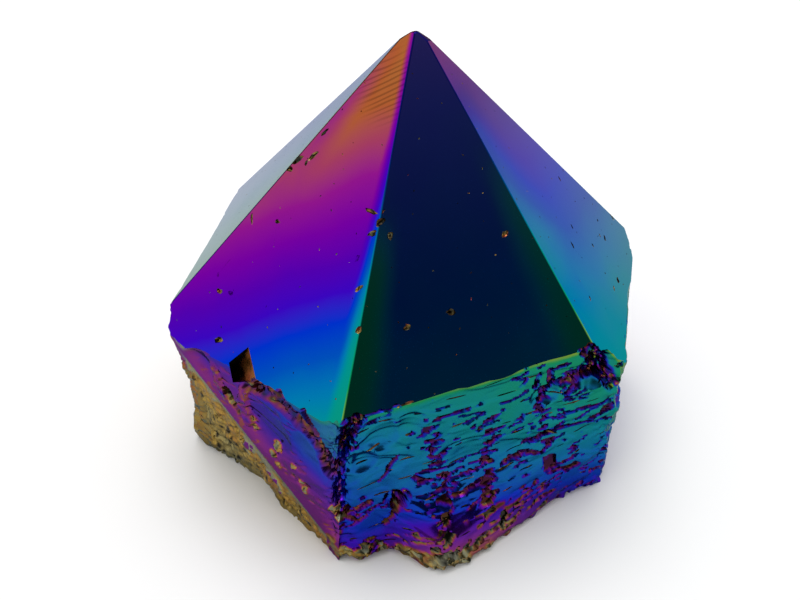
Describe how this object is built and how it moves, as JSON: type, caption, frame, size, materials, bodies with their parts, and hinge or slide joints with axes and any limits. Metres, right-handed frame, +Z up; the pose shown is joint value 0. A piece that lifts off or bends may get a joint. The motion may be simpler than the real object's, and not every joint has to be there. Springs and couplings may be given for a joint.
{
  "type": "titanium aura quartz point",
  "caption": "Stubby quartz crystal with a polished six-sided point over raw etched walls, coated in iridescent metal film, standing on its flat broken base.",
  "frame": {"origin": "on the resting face, straight below the polished point", "axes": "+Z up from the flat broken base to the point, -Y towards the front wall with the flared foot, +X to its right"},
  "size_m": [0.0603, 0.0577, 0.06],
  "materials": {
    "titanium_coating": "polished"
  },
  "bodies": {
    "root": {"crystal": "titanium_coating"}
  },
  "joints": []
}
